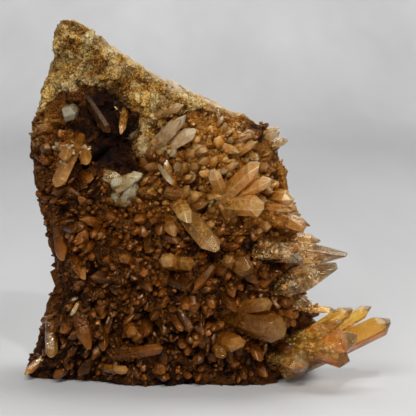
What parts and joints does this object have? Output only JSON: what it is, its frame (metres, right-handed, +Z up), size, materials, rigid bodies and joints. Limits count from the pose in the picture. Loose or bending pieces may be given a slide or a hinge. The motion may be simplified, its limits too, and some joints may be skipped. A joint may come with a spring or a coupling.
{
  "type": "golden healer quartz cluster",
  "caption": "Loose mineral specimen: a broken plate of rusty matrix rock that stands on its flat foot, its front grown over with golden quartz points.",
  "frame": {"origin": "middle of the bounding box's bottom, on the surface the foot rests on", "axes": "+Z up, -Y towards the viewer of the crystals, +X to that viewer's right, where the longest crystals stand out"},
  "size_m": [0.2167, 0.1105, 0.2138],
  "materials": {
    "matrix": "matte",
    "golden_quartz": "gloss",
    "rusty_quartz": "satin"
  },
  "bodies": {
    "root": {"matrix_rock": "matrix", "drusy_prism_left": "golden_quartz", "round_point_upper_left": "golden_quartz", "pocket_long_point": "rusty_quartz", "pocket_short_point": "golden_quartz", "clear_sliver": "golden_quartz", "bright_twin_point": "golden_quartz", "pale_ledge_point": "golden_quartz", "pale_quartz_patch": "golden_quartz", "fan_of_points": "golden_quartz", "small_point_upper_right": "golden_quartz", "long_blade_right": "golden_quartz", "round_point_right": "golden_quartz", "east_edge_point_upper": "golden_quartz", "east_edge_point_lower": "golden_quartz", "sharp_point_right": "golden_quartz", "broad_point_right": "golden_quartz", "round_points_centre": "golden_quartz", "corner_spray": "golden_quartz", "east_points": "golden_quartz", "big_amber_point": "golden_quartz", "amber_foot_points": "rusty_quartz", "amber_hanging_point": "rusty_quartz", "centre_point": "golden_quartz", "left_of_centre_point": "golden_quartz", "amber_round_points": "golden_quartz", "small_amber_point": "rusty_quartz", "west_rusty_point": "rusty_quartz", "west_short_point": "rusty_quartz", "notch_rusty_point": "rusty_quartz", "west_edge_point": "rusty_quartz", "long_point_lower_left": "rusty_quartz", "wide_point_lower_left": "rusty_quartz", "west_corner_points": "golden_quartz", "west_foot_point": "golden_quartz", "round_point_foot": "rusty_quartz", "lying_point_foot": "rusty_quartz", "pale_point_foot": "golden_quartz"}
  },
  "joints": []
}
